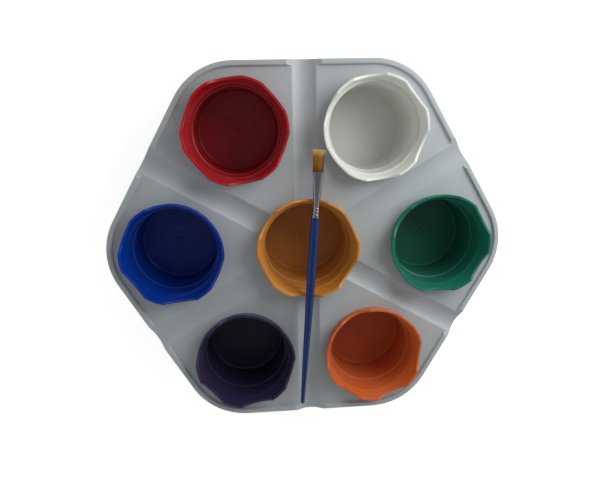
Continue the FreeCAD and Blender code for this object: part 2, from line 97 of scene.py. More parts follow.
def place_at(name, description, *metres):
    return FloatVectorProperty(name=name, description=description, default=metres,
                               subtype="XYZ", unit="LENGTH")


class CaddyPlastics(bpy.types.PropertyGroup):
    """Colours and finish of the moulded pieces."""

    tray: pigment("Tray", "Grey plastic of the tray", 163, 169, 172)
    red_cup: pigment("Red cup", "Plastic of the red cup", 152, 26, 34)
    white_cup: pigment("White cup", "Plastic of the white cup", 212, 214, 208)
    green_cup: pigment("Green cup", "Plastic of the green cup", 27, 101, 82)
    orange_cup: pigment("Orange cup", "Plastic of the orange cup", 190, 92, 46)
    purple_cup: pigment("Purple cup", "Plastic of the purple cup", 40, 34, 62)
    blue_cup: pigment("Blue cup", "Plastic of the blue cup", 3, 46, 134)
    yellow_cup: pigment("Yellow cup", "Plastic of the yellow cup", 186, 124, 55)
    tray_roughness: share("Tray roughness", "Satin finish of the tray", 0.42)
    tray_reflection: share("Tray reflection", "How much the tray mirrors the light", 0.36)
    cup_roughness: share("Cup roughness", "Gloss of the cups", 0.3)
    cup_reflection: share("Cup reflection", "How much the cups mirror the light", 0.22)
    peel: length("Peel", "Grain of the moulded surface", 0.7)
    # Edges near the top are painted paler: partly rubbed by handling, partly a painted highlight along the
    # rims.
    edge: length("Worn edge", "Width of the rubbed edges", 0.5)
    rub_and_highlight_reach: length("Handled", "Height below the top down to which edges are rubbed", 6)


class CaddyBrush(bpy.types.PropertyGroup):
    """Colours of the brush, and the make of its tuft."""

    lacquer: pigment("Lacquer", "Lacquer of the handle", 2, 38, 92)
    metal: pigment("Metal", "Sheet of the ferrule", 136, 138, 143)
    glue: pigment("Glue", "Set glue in the ferrule", 150, 104, 44)
    bristle_root: pigment("Bristle root", "Bristles at the ferrule", 104, 66, 18)
    bristle_body: pigment("Bristle body", "Bristles along their length", 146, 98, 30)
    bristle_tip: pigment("Bristle tip", "Bristles at the tip", 220, 186, 120)
    bristle_count: IntProperty(name="Bristles", description="Bristles in the tuft",
                               default=900, min=50, max=3000)
    bristle_width: length("Bristle width", "Thickness of one bristle", 0.16)
    bristle_hold: length("Bristle hold", "How far the shown bristles start inside the ferrule", 2)
    bristle_ragged: length("Ragged tip", "How much shorter some bristles are", 0.7)
    bristle_sway: length("Sway", "How far a bristle bends aside", 0.12)


class CaddyStage(bpy.types.PropertyGroup):
    """Camera, floor and light."""

    camera_place: place_at("Camera", "Where the camera stands", -0.0357, 0.0887, 0.4213)
    camera_aim: place_at("Aim", "What the camera looks at", -0.0084, 0.0021, 0.0430)
    camera_roll: FloatProperty(name="Roll", description="Turn of the camera about its own line of sight",
                               default=radians(-1.39), subtype="ANGLE", unit="ROTATION")
    lens: FloatProperty(name="Lens", description="Focal length on a 36 mm sensor", default=33.37,
                        unit="CAMERA", min=1)
    floor_color: pigment("Floor", "Pale floor", 240, 240, 238)
    floor_white: share("Floor white", "White added to the floor where it is seen", 0.62)
    floor_radius: FloatProperty(name="Floor radius", description="Reach of the floor", default=6,
                                subtype="DISTANCE", unit="LENGTH", min=1)
    key_place: place_at("Key light", "Where the main light stands", 0.29, 0.22, 0.25)
    key_aim: place_at("Key aim", "What the main light points at", 0.00, 0.00, 0.04)
    key_size: FloatProperty(name="Key size", description="Width of the main light", default=0.32,
                            subtype="DISTANCE", unit="LENGTH", min=0.01)
    key_power: FloatProperty(name="Key power", description="Strength of the main light", default=1.42,
                             subtype="POWER", unit="POWER", min=0)
    sky_horizon: FloatProperty(name="Horizon", description="Strength of the soft light from the sides",
                               default=1.0, min=0)
    sky_band: share("White band", "Height of the white band of the sky, as the sine of its angle", 0.2)
    sky_dimmed: share("Dimmed", "Height from which the sky is as dim as at the zenith, as a sine", 0.8)
    sky_zenith: FloatProperty(name="Zenith", description="Strength of the soft light from above",
                              default=0.3, min=0)


# Shader nodes

NODE_SPACING = 180
NOISE_MIDDLE = 0.5
MIX_COLOR_INPUTS = (0, 6, 7)
MIX_COLOR_OUTPUT = 2


def feed(tree, socket, source):
    """Links a socket to another one, or sets its value."""
    if isinstance(source, bpy.types.NodeSocket):
        tree.links.new(source, socket)
    else:
        socket.default_value = source


def place(tree, kind, feeds=None, **settings):
    """Adds a node. A feed is a socket to link or a value to set, by the name or number of its input."""
    node = tree.nodes.new(kind)
    node.location = (NODE_SPACING * len(tree.nodes), 0)
    for name, setting in settings.items():
        setattr(node, name, setting)
    for name, source in (feeds or {}).items():
        feed(tree, node.inputs[name], source)
    return node


def feed_inputs(tree, node, **feeds):
    """Feeds a node's inputs by name, with _ for a space."""
    for name, source in feeds.items():
        feed(tree, node.inputs[name.replace("_", " ")], source)


def calc(tree, operation, *operands):
    node = place(tree, "ShaderNodeMath", dict(enumerate(operands)), operation=operation)
    return node.outputs[0]


def calc_vector(tree, operation, *operands):
    node = place(tree, "ShaderNodeVectorMath", dict(enumerate(operands)), operation=operation)
    return node.outputs["Value" if operation in {"DOT_PRODUCT", "LENGTH"} else "Vector"]


def noise(tree, vector, scale, detail=2):
    node = place(tree, "ShaderNodeTexNoise", {"Vector": vector, "Scale": scale, "Detail": detail})
    return node.outputs["Fac"]


def spread_about(tree, middle, value, spread):
    """A middle value, moved up or down by a noise's distance from its own middle."""
    offset = calc(tree, "SUBTRACT", value, NOISE_MIDDLE)
    return calc(tree, "MULTIPLY_ADD", offset, spread, middle)


def ramp(tree, value, low, high):
    """0 below low and 1 above high, with a soft step between."""
    node = place(tree, "ShaderNodeMapRange", {"Value": value, "From Min": low, "From Max": high},
                 interpolation_type="SMOOTHSTEP")
    return node.outputs["Result"]


def mix_colors(tree, factor, under, over):
    """Lays one colour over another by a factor."""
    feeds = dict(zip(MIX_COLOR_INPUTS, (factor, under, over)))
    node = place(tree, "ShaderNodeMix", feeds, data_type="RGBA")
    return node.outputs[MIX_COLOR_OUTPUT]


# Node groups that the materials share

def start_group(name, inputs, outputs):
    """Starts a node group, and gives its tree, its inputs and its output node."""
    tree = bpy.data.node_groups.new(name, "ShaderNodeTree")
    for label, kind in inputs.items():
        tree.interface.new_socket(label, in_out="INPUT", socket_type=f"NodeSocket{kind}")
    for label, kind in outputs.items():
        tree.interface.new_socket(label, in_out="OUTPUT", socket_type=f"NodeSocket{kind}")
    return tree, place(tree, "NodeGroupInput").outputs, place(tree, "NodeGroupOutput")


def finish_group(tree, end, **results):
    for label, socket in results.items():
        tree.links.new(socket, end.inputs[label])
    return tree


def make_pigment_drift():
    """Slow change of a plastic's or a paint's colour over the surface."""
    fleck_fineness = 9.0
    fleck_share = 0.4
    saturation_share = -0.6
    tree, given, end = start_group("pigment_drift", {
        "Vector": "Vector", "Color": "Color", "Patch": "Float", "Spread": "Float"}, {"Color": "Color"})
    scale = calc(tree, "DIVIDE", 1.0, given["Patch"])
    patches = noise(tree, given["Vector"], scale, detail=3)
    flecks = noise(tree, given["Vector"], calc(tree, "MULTIPLY", scale, fleck_fineness))
    both = spread_about(tree, patches, flecks, fleck_share)
    saturation_spread = calc(tree, "MULTIPLY", given["Spread"], saturation_share)
    drifted = place(tree, "ShaderNodeHueSaturation", {
        "Saturation": spread_about(tree, 1.0, patches, saturation_spread),
        "Value": spread_about(tree, 1.0, both, given["Spread"]),
        "Color": given["Color"]})
    return finish_group(tree, end, Color=drifted.outputs["Color"])


def make_moulded_skin():
    """Fine peel of a moulded surface, and the uneven gloss that comes with it."""
    wave_fineness = 0.05
    wave_height = 3.0
    patch_fineness = 0.03
    tree, given, end = start_group("moulded_skin", {
        "Vector": "Vector", "Peel": "Float", "Roughness": "Float", "Spread": "Float"},
        {"Height": "Float", "Roughness": "Float"})
    scale = calc(tree, "DIVIDE", 1.0, given["Peel"])
    peel = noise(tree, given["Vector"], scale)
    waves = noise(tree, given["Vector"], calc(tree, "MULTIPLY", scale, wave_fineness), detail=1)
    height = calc(tree, "MULTIPLY_ADD", waves, wave_height, peel)
    patches = noise(tree, given["Vector"], calc(tree, "MULTIPLY", scale, patch_fineness), detail=4)
    roughness = spread_about(tree, given["Roughness"], patches, given["Spread"])
    return finish_group(tree, end, Height=height, Roughness=roughness)


def make_edge_rub_and_highlight():
    """Mask of the edges, broken up by noise: rubbed by handling, and on the plastics also a painted
    highlight.
    """
    bevel_samples = 6
    bend_range = (0.01, 0.16)
    break_range = (0.35, 0.65)
    tree, given, end = start_group("edge_rub_and_highlight", {"Vector": "Vector", "Width": "Float", "Break": "Float"},
                                   {"Mask": "Float"})
    bevel = place(tree, "ShaderNodeBevel", {"Radius": given["Width"]}, samples=bevel_samples)
    true_normal = place(tree, "ShaderNodeNewGeometry").outputs["Normal"]
    agreement = calc_vector(tree, "DOT_PRODUCT", bevel.outputs["Normal"], true_normal)
    edge = ramp(tree, calc(tree, "SUBTRACT", 1.0, agreement), *bend_range)
    breaks = noise(tree, given["Vector"], calc(tree, "DIVIDE", 1.0, given["Break"]), detail=3)
    mask = calc(tree, "MULTIPLY", edge, ramp(tree, breaks, *break_range))
    return finish_group(tree, end, Mask=mask)


def make_scuffs():
    """Mask of thin scratches that run several ways."""
    headings = (0.4, 1.3, 2.5)
    turn_shares = (0.3, 0.2, 1.0)
    stretch = (1.0, 14.0, 14.0)
    line_range = (0.002, 0.012)
    cover_fineness = 0.5
    cover_range = (0.5, 0.7)
    tree, given, end = start_group("scuffs", {"Vector": "Vector", "Reach": "Float"}, {"Mask": "Float"})
    scale = calc(tree, "DIVIDE", 1.0, given["Reach"])
    scratches = 0.0
    for heading in headings:
        turn = tuple(heading * part for part in turn_shares)
        stretched = place(tree, "ShaderNodeMapping", {
            "Vector": given["Vector"], "Rotation": turn, "Scale": stretch})
        streaks = noise(tree, stretched.outputs["Vector"], scale, detail=1)
        off_line = calc(tree, "ABSOLUTE", calc(tree, "SUBTRACT", streaks, NOISE_MIDDLE))
        line = calc(tree, "SUBTRACT", 1.0, ramp(tree, off_line, *line_range))
        scratches = calc(tree, "MAXIMUM", line, scratches)
    cover = noise(tree, given["Vector"], calc(tree, "MULTIPLY", scale, cover_fineness))
    mask = calc(tree, "MULTIPLY", scratches, ramp(tree, cover, *cover_range))
    return finish_group(tree, end, Mask=mask)


def make_settled_dust():
    """Mask of the dust that settles on faces that look up, in clouds and specks."""
    upward_range = (0.6, 1.0)
    cloud_range = (0.3, 0.8)
    speck_fineness = 40.0
    speck_range = (0.66, 0.74)
    speck_share = 0.5
    tree, given, end = start_group("settled_dust", {"Vector": "Vector", "Patch": "Float"}, {"Mask": "Float"})
    normal = place(tree, "ShaderNodeNewGeometry").outputs["Normal"]
    upward = ramp(tree, calc_vector(tree, "DOT_PRODUCT", normal, tuple(UP)), *upward_range)
    scale = calc(tree, "DIVIDE", 1.0, given["Patch"])
    clouds = ramp(tree, noise(tree, given["Vector"], scale, detail=5), *cloud_range)
    grain = noise(tree, given["Vector"], calc(tree, "MULTIPLY", scale, speck_fineness), detail=1)
    specks = ramp(tree, grain, *speck_range)
    cover = calc(tree, "MULTIPLY_ADD", specks, speck_share, clouds)
    return finish_group(tree, end, Mask=calc(tree, "MULTIPLY", upward, cover))


def make_draw_marks():
    """Faint marks of a turned mould: streaks down the wall and rings on the floor."""
    streak_fineness = 26.0
    ring_share = 0.6
    tree, given, end = start_group("draw_marks", {"Vector": "Vector", "Pitch": "Float"}, {"Height": "Float"})
    flat = calc_vector(tree, "MULTIPLY", given["Vector"], (1.0, 1.0, 0.0))
    heading = calc_vector(tree, "NORMALIZE", flat)
    streaks = noise(tree, heading, streak_fineness, detail=4)
    radius = calc_vector(tree, "LENGTH", flat)
    ring_number = calc(tree, "DIVIDE", radius, given["Pitch"])
    rings = place(tree, "ShaderNodeTexNoise", {"W": ring_number, "Scale": 1.0, "Detail": 2.0},
                  noise_dimensions="1D")
    height = calc(tree, "MULTIPLY_ADD", rings.outputs["Fac"], ring_share, streaks)
    return finish_group(tree, end, Height=height)


def make_long_grain():
    """Fine lines along a rod or a drawn tube, whose length is the vector's Z."""
    stretch = (1.0, 1.0, 0.03)
    tree, given, end = start_group("long_grain", {"Vector": "Vector", "Width": "Float"}, {"Height": "Float"})
    stretched = calc_vector(tree, "MULTIPLY", given["Vector"], stretch)
    scale = calc(tree, "DIVIDE", 1.0, given["Width"])
    return finish_group(tree, end, Height=noise(tree, stretched, scale, detail=3))


GROUP_MAKERS = {
    "pigment_drift": make_pigment_drift,
    "moulded_skin": make_moulded_skin,
    "edge_rub_and_highlight": make_edge_rub_and_highlight,
    "scuffs": make_scuffs,
    "settled_dust": make_settled_dust,
    "draw_marks": make_draw_marks,
    "long_grain": make_long_grain,
}


def use_group(tree, name, **feeds):
    """Places a shared node group, made the first time that it is asked for, and gives its outputs."""
    group = bpy.data.node_groups.get(name) or GROUP_MAKERS[name]()
    node = place(tree, "ShaderNodeGroup", node_tree=group)
    feed_inputs(tree, node, **feeds)
    return node.outputs


# Materials

def new_material(name):
    """Starts a material, and gives its node tree and its main shader."""
    material = bpy.data.materials.new(name)
    material.use_nodes = True
    tree = material.node_tree
    return material, tree, tree.nodes["Principled BSDF"]


def surface_vector(tree, middle=Vector()):
    """The surface's own coordinates, measured from a middle point."""
    own = place(tree, "ShaderNodeTexCoord").outputs["Object"]
    return calc_vector(tree, "SUBTRACT", own, tuple(middle))


def add_bump(tree, height, strength, depth, under=None):
    """A normal that follows a height, laid over another normal where one is given."""
    feeds = {"Strength": strength, "Distance": depth, "Height": height}
    if under is not None:
        feeds["Normal"] = under
    return place(tree, "ShaderNodeBump", feeds).outputs["Normal"]


def opaque(color):
    return (*color, 1.0)


def paler(color, amount):
    """A colour moved towards white."""
    return tuple(channel + (1 - channel) * amount for channel in color)


def add_wear_and_highlight(tree, under, mask, cover, color):
    """Lays a colour over the surface where a mask is, up to a given cover."""
    return mix_colors(tree, calc(tree, "MULTIPLY", mask, cover), under, opaque(color))


PLASTIC_PATCH = 30 * MILLIMETRE
PLASTIC_SPREAD = 0.14
PLASTIC_GLOSS_SPREAD = 0.16
# The paler edges of the plastics are partly wear and partly a painted highlight, standing in for light caught
# along the rims.
RUB_AND_HIGHLIGHT_BREAK = 4 * MILLIMETRE
RUB_AND_HIGHLIGHT_COVER = 0.3
RUB_AND_HIGHLIGHT_PALER = 0.35
SCUFF_REACH = 20 * MILLIMETRE
SCUFF_COVER = 0.1
SCUFF_PALER = 0.5
DUST_PATCH = 20 * MILLIMETRE
DUST_COVER = 0.012
DUST_COLOR = (0.6, 0.58, 0.55)
WORN_DULLING = 0.12
PEEL_STRENGTH = 0.25
PEEL_DEPTH = 0.04 * MILLIMETRE
MARK_PITCH = 1.2 * MILLIMETRE
MARK_STRENGTH = 0.2
MARK_DEPTH = 0.05 * MILLIMETRE


def make_plastic(name, color, roughness, reflection, plastics, node, turned=False):
    """Moulded plastic: drifting pigment, peel, paler edges near the top that are partly rubbed and partly a
    painted highlight, scuffs and a little dust.
    """
    material, tree, shader = new_material(name)
    vector = surface_vector(tree)
    low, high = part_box(node)
    drift = use_group(tree, "pigment_drift", Vector=vector, Color=opaque(color), Patch=PLASTIC_PATCH,
                      Spread=PLASTIC_SPREAD)["Color"]
    edges = use_group(tree, "edge_rub_and_highlight", Vector=vector, Width=plastics.edge, Break=RUB_AND_HIGHLIGHT_BREAK)["Mask"]
    height = place(tree, "ShaderNodeSeparateXYZ", {0: vector}).outputs["Z"]
    rub_and_highlight_reach = ramp(tree, height, high.z - plastics.rub_and_highlight_reach, high.z - plastics.rub_and_highlight_reach / 2)
    rub_and_highlight_mask = calc(tree, "MULTIPLY", edges, rub_and_highlight_reach)
    scuff = use_group(tree, "scuffs", Vector=vector, Reach=SCUFF_REACH)["Mask"]
    dust = use_group(tree, "settled_dust", Vector=vector, Patch=DUST_PATCH)["Mask"]
    # Painted highlight: edges near the top are laid paler, partly as wear and partly for the light caught
    # along the rims.
    rubbed_and_highlighted = add_wear_and_highlight(tree, drift, rub_and_highlight_mask, RUB_AND_HIGHLIGHT_COVER, paler(color, RUB_AND_HIGHLIGHT_PALER))
    scuffed = add_wear_and_highlight(tree, rubbed_and_highlighted, scuff, SCUFF_COVER, paler(color, SCUFF_PALER))
    dusted = add_wear_and_highlight(tree, scuffed, dust, DUST_COVER, DUST_COLOR)
    skin = use_group(tree, "moulded_skin", Vector=vector, Peel=plastics.peel, Roughness=roughness,
                     Spread=PLASTIC_GLOSS_SPREAD)
    worn = calc(tree, "MAXIMUM", scuff, dust)
    rough = calc(tree, "MULTIPLY_ADD", worn, WORN_DULLING, skin["Roughness"])
    normal = add_bump(tree, skin["Height"], PEEL_STRENGTH, PEEL_DEPTH)
    if turned:
        from_axis = surface_vector(tree, (low + high) / 2)
        marks = use_group(tree, "draw_marks", Vector=from_axis, Pitch=MARK_PITCH)["Height"]
        normal = add_bump(tree, marks, MARK_STRENGTH, MARK_DEPTH, normal)
    feed_inputs(tree, shader, Base_Color=dusted, Roughness=rough, Normal=normal,
                Specular_IOR_Level=reflection)
    return material


def brush_vector(tree, brush):
    """The brush's own coordinates, with Z along it."""
    own = place(tree, "ShaderNodeTexCoord").outputs["Object"]
    turn = brush.turn.inverted().to_euler()
    turned = place(tree, "ShaderNodeMapping", {"Vector": own, "Rotation": tuple(turn)})
    return turned.outputs["Vector"]


LACQUER_PATCH = 20 * MILLIMETRE
LACQUER_SPREAD = 0.2
LACQUER_EDGE = 0.3 * MILLIMETRE
LACQUER_BREAK = 2 * MILLIMETRE
LACQUER_RUB_COVER = 0.4
LACQUER_RUB_PALER = 0.3
LACQUER_SCUFF_REACH = 10 * MILLIMETRE
LACQUER_SCUFF_DULLING = 0.2
LACQUER_ROUGHNESS = 0.24
LACQUER_REFLECTION = 0.3
LACQUER_COAT = 0.12
LACQUER_COAT_ROUGHNESS = 0.12
WOOD_GRAIN_WIDTH = 0.4 * MILLIMETRE
WOOD_GRAIN_STRENGTH = 0.2
WOOD_GRAIN_DEPTH = 0.05 * MILLIMETRE


def make_lacquer(brush, colors):
    """Gloss lacquer over fine-grained wood."""
    material, tree, shader = new_material("handle_lacquer")
    vector = brush_vector(tree, brush)
    drift = use_group(tree, "pigment_drift", Vector=vector, Color=opaque(colors.lacquer), Patch=LACQUER_PATCH,
                      Spread=LACQUER_SPREAD)["Color"]
    rub_and_highlight_mask = use_group(tree, "edge_rub_and_highlight", Vector=vector, Width=LACQUER_EDGE, Break=LACQUER_BREAK)["Mask"]
    rubbed_and_highlighted = add_wear_and_highlight(tree, drift, rub_and_highlight_mask, LACQUER_RUB_COVER, paler(colors.lacquer, LACQUER_RUB_PALER))
    grain = use_group(tree, "long_grain", Vector=vector, Width=WOOD_GRAIN_WIDTH)["Height"]
    scuff = use_group(tree, "scuffs", Vector=vector, Reach=LACQUER_SCUFF_REACH)["Mask"]
    rough = calc(tree, "MULTIPLY_ADD", scuff, LACQUER_SCUFF_DULLING, LACQUER_ROUGHNESS)
    normal = add_bump(tree, grain, WOOD_GRAIN_STRENGTH, WOOD_GRAIN_DEPTH)
    feed_inputs(tree, shader, Base_Color=rubbed_and_highlighted, Roughness=rough, Normal=normal,
                Specular_IOR_Level=LACQUER_REFLECTION, Coat_Weight=LACQUER_COAT,
                Coat_Roughness=LACQUER_COAT_ROUGHNESS)
    return material


METAL_PATCH = 4 * MILLIMETRE
METAL_SPREAD = 0.25
METAL_ROUGHNESS = 0.22
METAL_ROUGHNESS_SPREAD = 0.16
METAL_SCUFF_REACH = 6 * MILLIMETRE
METAL_SCUFF_DULLING = 0.15
METAL_LINE_WIDTH = 0.25 * MILLIMETRE
METAL_LINE_STRENGTH = 0.3
METAL_LINE_DEPTH = 0.03 * MILLIMETRE


def make_metal(brush, colors):
    """Drawn aluminium sheet: drifting tone, fine lines along it and scuffs."""
    material, tree, shader = new_material("ferrule_metal")
    vector = brush_vector(tree, brush)
    drift = use_group(tree, "pigment_drift", Vector=vector, Color=opaque(colors.metal), Patch=METAL_PATCH,
                      Spread=METAL_SPREAD)["Color"]
    lines = use_group(tree, "long_grain", Vector=vector, Width=METAL_LINE_WIDTH)["Height"]
    scuff = use_group(tree, "scuffs", Vector=vector, Reach=METAL_SCUFF_REACH)["Mask"]
    lined = spread_about(tree, METAL_ROUGHNESS, lines, METAL_ROUGHNESS_SPREAD)
    rough = calc(tree, "MULTIPLY_ADD", scuff, METAL_SCUFF_DULLING, lined)
    normal = add_bump(tree, lines, METAL_LINE_STRENGTH, METAL_LINE_DEPTH)
    feed_inputs(tree, shader, Base_Color=drift, Roughness=rough, Metallic=1.0, Normal=normal)
    return material


GLUE_PATCH = 2 * MILLIMETRE
GLUE_SPREAD = 0.3
GLUE_ROUGHNESS = 0.3
GLUE_ROUGHNESS_SPREAD = 0.2
GLUE_LUMP = 0.4 * MILLIMETRE
GLUE_LUMP_STRENGTH = 0.4
GLUE_LUMP_DEPTH = 0.08 * MILLIMETRE


def make_glue(colors):
    """Set glue with small lumps."""
    material, tree, shader = new_material("glue")
    vector = surface_vector(tree)
    drift = use_group(tree, "pigment_drift", Vector=vector, Color=opaque(colors.glue), Patch=GLUE_PATCH,
                      Spread=GLUE_SPREAD)["Color"]
    skin = use_group(tree, "moulded_skin", Vector=vector, Peel=GLUE_LUMP, Roughness=GLUE_ROUGHNESS,
                     Spread=GLUE_ROUGHNESS_SPREAD)
    normal = add_bump(tree, skin["Height"], GLUE_LUMP_STRENGTH, GLUE_LUMP_DEPTH)
    feed_inputs(tree, shader, Base_Color=drift, Roughness=skin["Roughness"], Normal=normal)
    return material


BRISTLE_ROOT_RANGE = (0.1, 0.6)
BRISTLE_TIP_RANGE = (0.68, 1.0)
BRISTLE_SATURATION_SPREAD = -0.3
BRISTLE_VALUE_SPREAD = 0.6
BRISTLE_ROUGHNESS = 0.42
BRISTLE_ROUGHNESS_SPREAD = 0.2
BRISTLE_REFLECTION = 0.2


def make_bristle(colors):
    """Amber bristles: each has its own tone, and they are paler towards the tip."""
    material, tree, shader = new_material("bristle")
    tone = place(tree, "ShaderNodeAttribute", attribute_name="tone").outputs["Fac"]
    reach = place(tree, "ShaderNodeAttribute", attribute_name="reach").outputs["Fac"]
    past_root = ramp(tree, reach, *BRISTLE_ROOT_RANGE)
    near_tip = ramp(tree, reach, *BRISTLE_TIP_RANGE)
    body = mix_colors(tree, past_root, opaque(colors.bristle_root), opaque(colors.bristle_body))
    along = mix_colors(tree, near_tip, body, opaque(colors.bristle_tip))
    toned = place(tree, "ShaderNodeHueSaturation", {
        "Saturation": spread_about(tree, 1.0, tone, BRISTLE_SATURATION_SPREAD),
        "Value": spread_about(tree, 1.0, tone, BRISTLE_VALUE_SPREAD),
        "Color": along})
    rough = spread_about(tree, BRISTLE_ROUGHNESS, tone, BRISTLE_ROUGHNESS_SPREAD)
    feed_inputs(tree, shader, Base_Color=toned.outputs["Color"], Roughness=rough,
                Specular_IOR_Level=BRISTLE_REFLECTION)
    return material


def dress(node, material):
    """Gives a CAD node's object its finish."""
    materials = NODES[node].data.materials
    if not materials:
        materials.append(material)
    for index in range(len(materials)):
        materials[index] = material


# Brush

class BrushFrame:
    """The brush's axis and the sections of its tuft, read from the frame's meshes."""

    RING = 0.1 * MILLIMETRE

    def __init__(self):
        tuft = self.points("brush_tuft")
        handle = self.points("brush_handle")
        self.along = (self.middle(tuft) - self.middle(handle)).normalized()
        self.across = self.along.cross(UP).normalized()
        self.thin = self.across.cross(self.along)
        self.turn = Matrix((self.across, self.thin * -1, self.along)).transposed().to_quaternion()
        self.base = self.middle(tuft)
        self.root = min(self.station(point) for point in tuft)
        self.tip = max(self.station(point) for point in tuft)
        self.mouth = max(self.station(point) for point in self.points("brush_ferrule"))
        stations = (self.root, self.mouth, self.tip)
        self.sections = {station: self.section(tuft, station) for station in stations}

    @staticmethod
    def points(node):
        return [vertex.co for vertex in NODES[node].data.vertices]

    @staticmethod
    def middle(points):
        return sum(points, Vector()) / len(points)

    def station(self, point):
        return (point - self.base).dot(self.along)

    def section(self, points, station):
        """Half width and half thickness of the ring of points at a station."""
        ring = [point - self.base for point in points if abs(self.station(point) - station) < self.RING]
        if not ring:
            raise RuntimeError(f"the tuft has no ring of points at {station}")
        half_width = max(abs(point.dot(self.across)) for point in ring)
        half_thickness = max(abs(point.dot(self.thin)) for point in ring)
        return half_width, half_thickness

    def section_at(self, station):
        """Half width and half thickness of the tuft at any station."""
        first, last = (self.root, self.mouth) if station < self.mouth else (self.mouth, self.tip)
        fraction = (station - first) / (last - first)
        pairs = zip(self.sections[first], self.sections[last])
        return [start + (finish - start) * fraction for start, finish in pairs]

    def point(self, station, across, thin):
        return self.base + self.along * station + self.across * across + self.thin * thin


BRISTLE_RINGS = 7
BRISTLE_SIDES = 5
BRISTLE_SEED = 11
BRISTLE_TAPER = 0.75


def swayed(half, part, aside, bend):
    """Place of a bristle across the tuft: a part of its half size, swayed aside but kept inside it."""
    pulled_in = part * (1 - abs(aside) / half * bend)
    return half * pulled_in + aside * bend * (1 - abs(part))


def bristle_line(brush, colors, spot, chance):
    """Stations and sideways places of one bristle, from inside the ferrule to its own tip."""
    start = brush.mouth - colors.bristle_hold
    finish = brush.tip - colors.bristle_ragged * chance.random() ** 2
    sway = [chance.uniform(-1, 1) * colors.bristle_sway for _ in range(2)]
    line = []
    for ring in range(BRISTLE_RINGS):
        fraction = ring / (BRISTLE_RINGS - 1)
        station = start + (finish - start) * fraction
        bend = sin(pi * fraction) * fraction
        halves = [half - colors.bristle_width for half in brush.section_at(station)]
        offsets = [swayed(half, part, aside, bend) for half, part, aside in zip(halves, spot, sway)]
        line.append((station, *offsets))
    return line


def add_bristle(mesh, brush, colors, line, tone, layers):
    """Adds one tapering bristle, closed at both ends."""
    rings = []
    for index, (station, across, thin) in enumerate(line):
        fraction = index / (BRISTLE_RINGS - 1)
        radius = colors.bristle_width / 2 * (1 - BRISTLE_TAPER * fraction ** 3)
        ring = []
        for side in range(BRISTLE_SIDES):
            angle = tau * side / BRISTLE_SIDES
            point = brush.point(station, across + radius * cos(angle), thin + radius * sin(angle))
            vertex = mesh.verts.new(point)
            vertex[layers["tone"]] = tone
            vertex[layers["reach"]] = fraction
            ring.append(vertex)
        rings.append(ring)
    for lower, upper in zip(rings, rings[1:]):
        for side in range(BRISTLE_SIDES):
            following = (side + 1) % BRISTLE_SIDES
            mesh.faces.new((lower[side], lower[following], upper[following], upper[side])).smooth = True
    mesh.faces.new(reversed(rings[0]))
    mesh.faces.new(rings[-1])


def make_tuft(brush, colors):
    """Builds the tuft out of single bristles, spread evenly over the brush's flat section."""
    mesh = bmesh.new()
    layers = {name: mesh.verts.layers.float.new(name) for name in ("tone", "reach")}
    chance = random.Random(BRISTLE_SEED)
    for index in range(colors.bristle_count):
        reach = sqrt((index + 0.5) / colors.bristle_count)
        angle = index * GOLDEN_ANGLE
        spot = (reach * cos(angle), reach * sin(angle))
        line = bristle_line(brush, colors, spot, chance)
        add_bristle(mesh, brush, colors, line, chance.random(), layers)
    bmesh.ops.recalc_face_normals(mesh, faces=mesh.faces)
    data = bpy.data.meshes.new("bristles")
    mesh.to_mesh(data)
    mesh.free()
    return add_object("bristles", data)


# Stage

WHITE = (1, 1, 1, 1)
CAMERA_NEAR = 10 * MILLIMETRE
FLOOR_SIDES = 96
FLOOR_ROUGHNESS = 0.9


def add_object(name, data):
    thing = bpy.data.objects.new(name, data)
    bpy.context.scene.collection.objects.link(thing)
    return thing


def add_camera(stage):
    """Stands the camera where the picture was taken, with the far side of the table at the top."""
    camera = add_object("camera", bpy.data.cameras.new("camera"))
    camera.data.lens = stage.lens
    camera.data.clip_start = CAMERA_NEAR
    stand = Vector(stage.camera_place)
    back = (stand - Vector(stage.camera_aim)).normalized()
    right = TABLE_AHEAD.cross(back).normalized()
    upright = Matrix((right, back.cross(right), back)).transposed().to_quaternion()
    camera.location = stand
    camera.rotation_mode = "QUATERNION"
    camera.rotation_quaternion = Quaternion(back, stage.camera_roll) @ upright
    bpy.context.scene.camera = camera


def make_floor_finish(stage):
    """Pale floor that takes shadows, with white added where it is seen."""
    material, tree, shader = new_material("floor")
    feed_inputs(tree, shader, Base_Color=opaque(stage.floor_color), Roughness=FLOOR_ROUGHNESS)
    rays = place(tree, "ShaderNodeLightPath").outputs
    seen_or_mirrored = calc(tree, "MAXIMUM", rays["Is Camera Ray"], rays["Is Glossy Ray"])
    seen = calc(tree, "MAXIMUM", seen_or_mirrored, rays["Is Transmission Ray"])
    strength = calc(tree, "MULTIPLY", seen, stage.floor_white)
    white = place(tree, "ShaderNodeEmission", {"Color": WHITE, "Strength": strength})
    both = place(tree, "ShaderNodeAddShader", {0: shader.outputs["BSDF"], 1: white.outputs["Emission"]})
    tree.links.new(both.outputs["Shader"], tree.nodes["Material Output"].inputs["Surface"])
    return material


def add_floor(stage):
    mesh = bmesh.new()
    bmesh.ops.create_circle(mesh, cap_ends=True, segments=FLOOR_SIDES, radius=stage.floor_radius)
    data = bpy.data.meshes.new("floor")
    mesh.to_mesh(data)
    mesh.free()
    data.materials.append(make_floor_finish(stage))
    floor = add_object("floor", data)
    floor.location = (0, 0, CAD_BOX[0].z)


def add_key_light(stage):
    light = add_object("key_light", bpy.data.lights.new("key_light", "AREA"))
    light.data.shape = "DISK"
    light.data.size = stage.key_size
    light.data.energy = stage.key_power
    light.location = stage.key_place
    away = Vector(stage.key_place) - Vector(stage.key_aim)
    light.rotation_mode = "QUATERNION"
    light.rotation_quaternion = away.to_track_quat("Z", "Y")


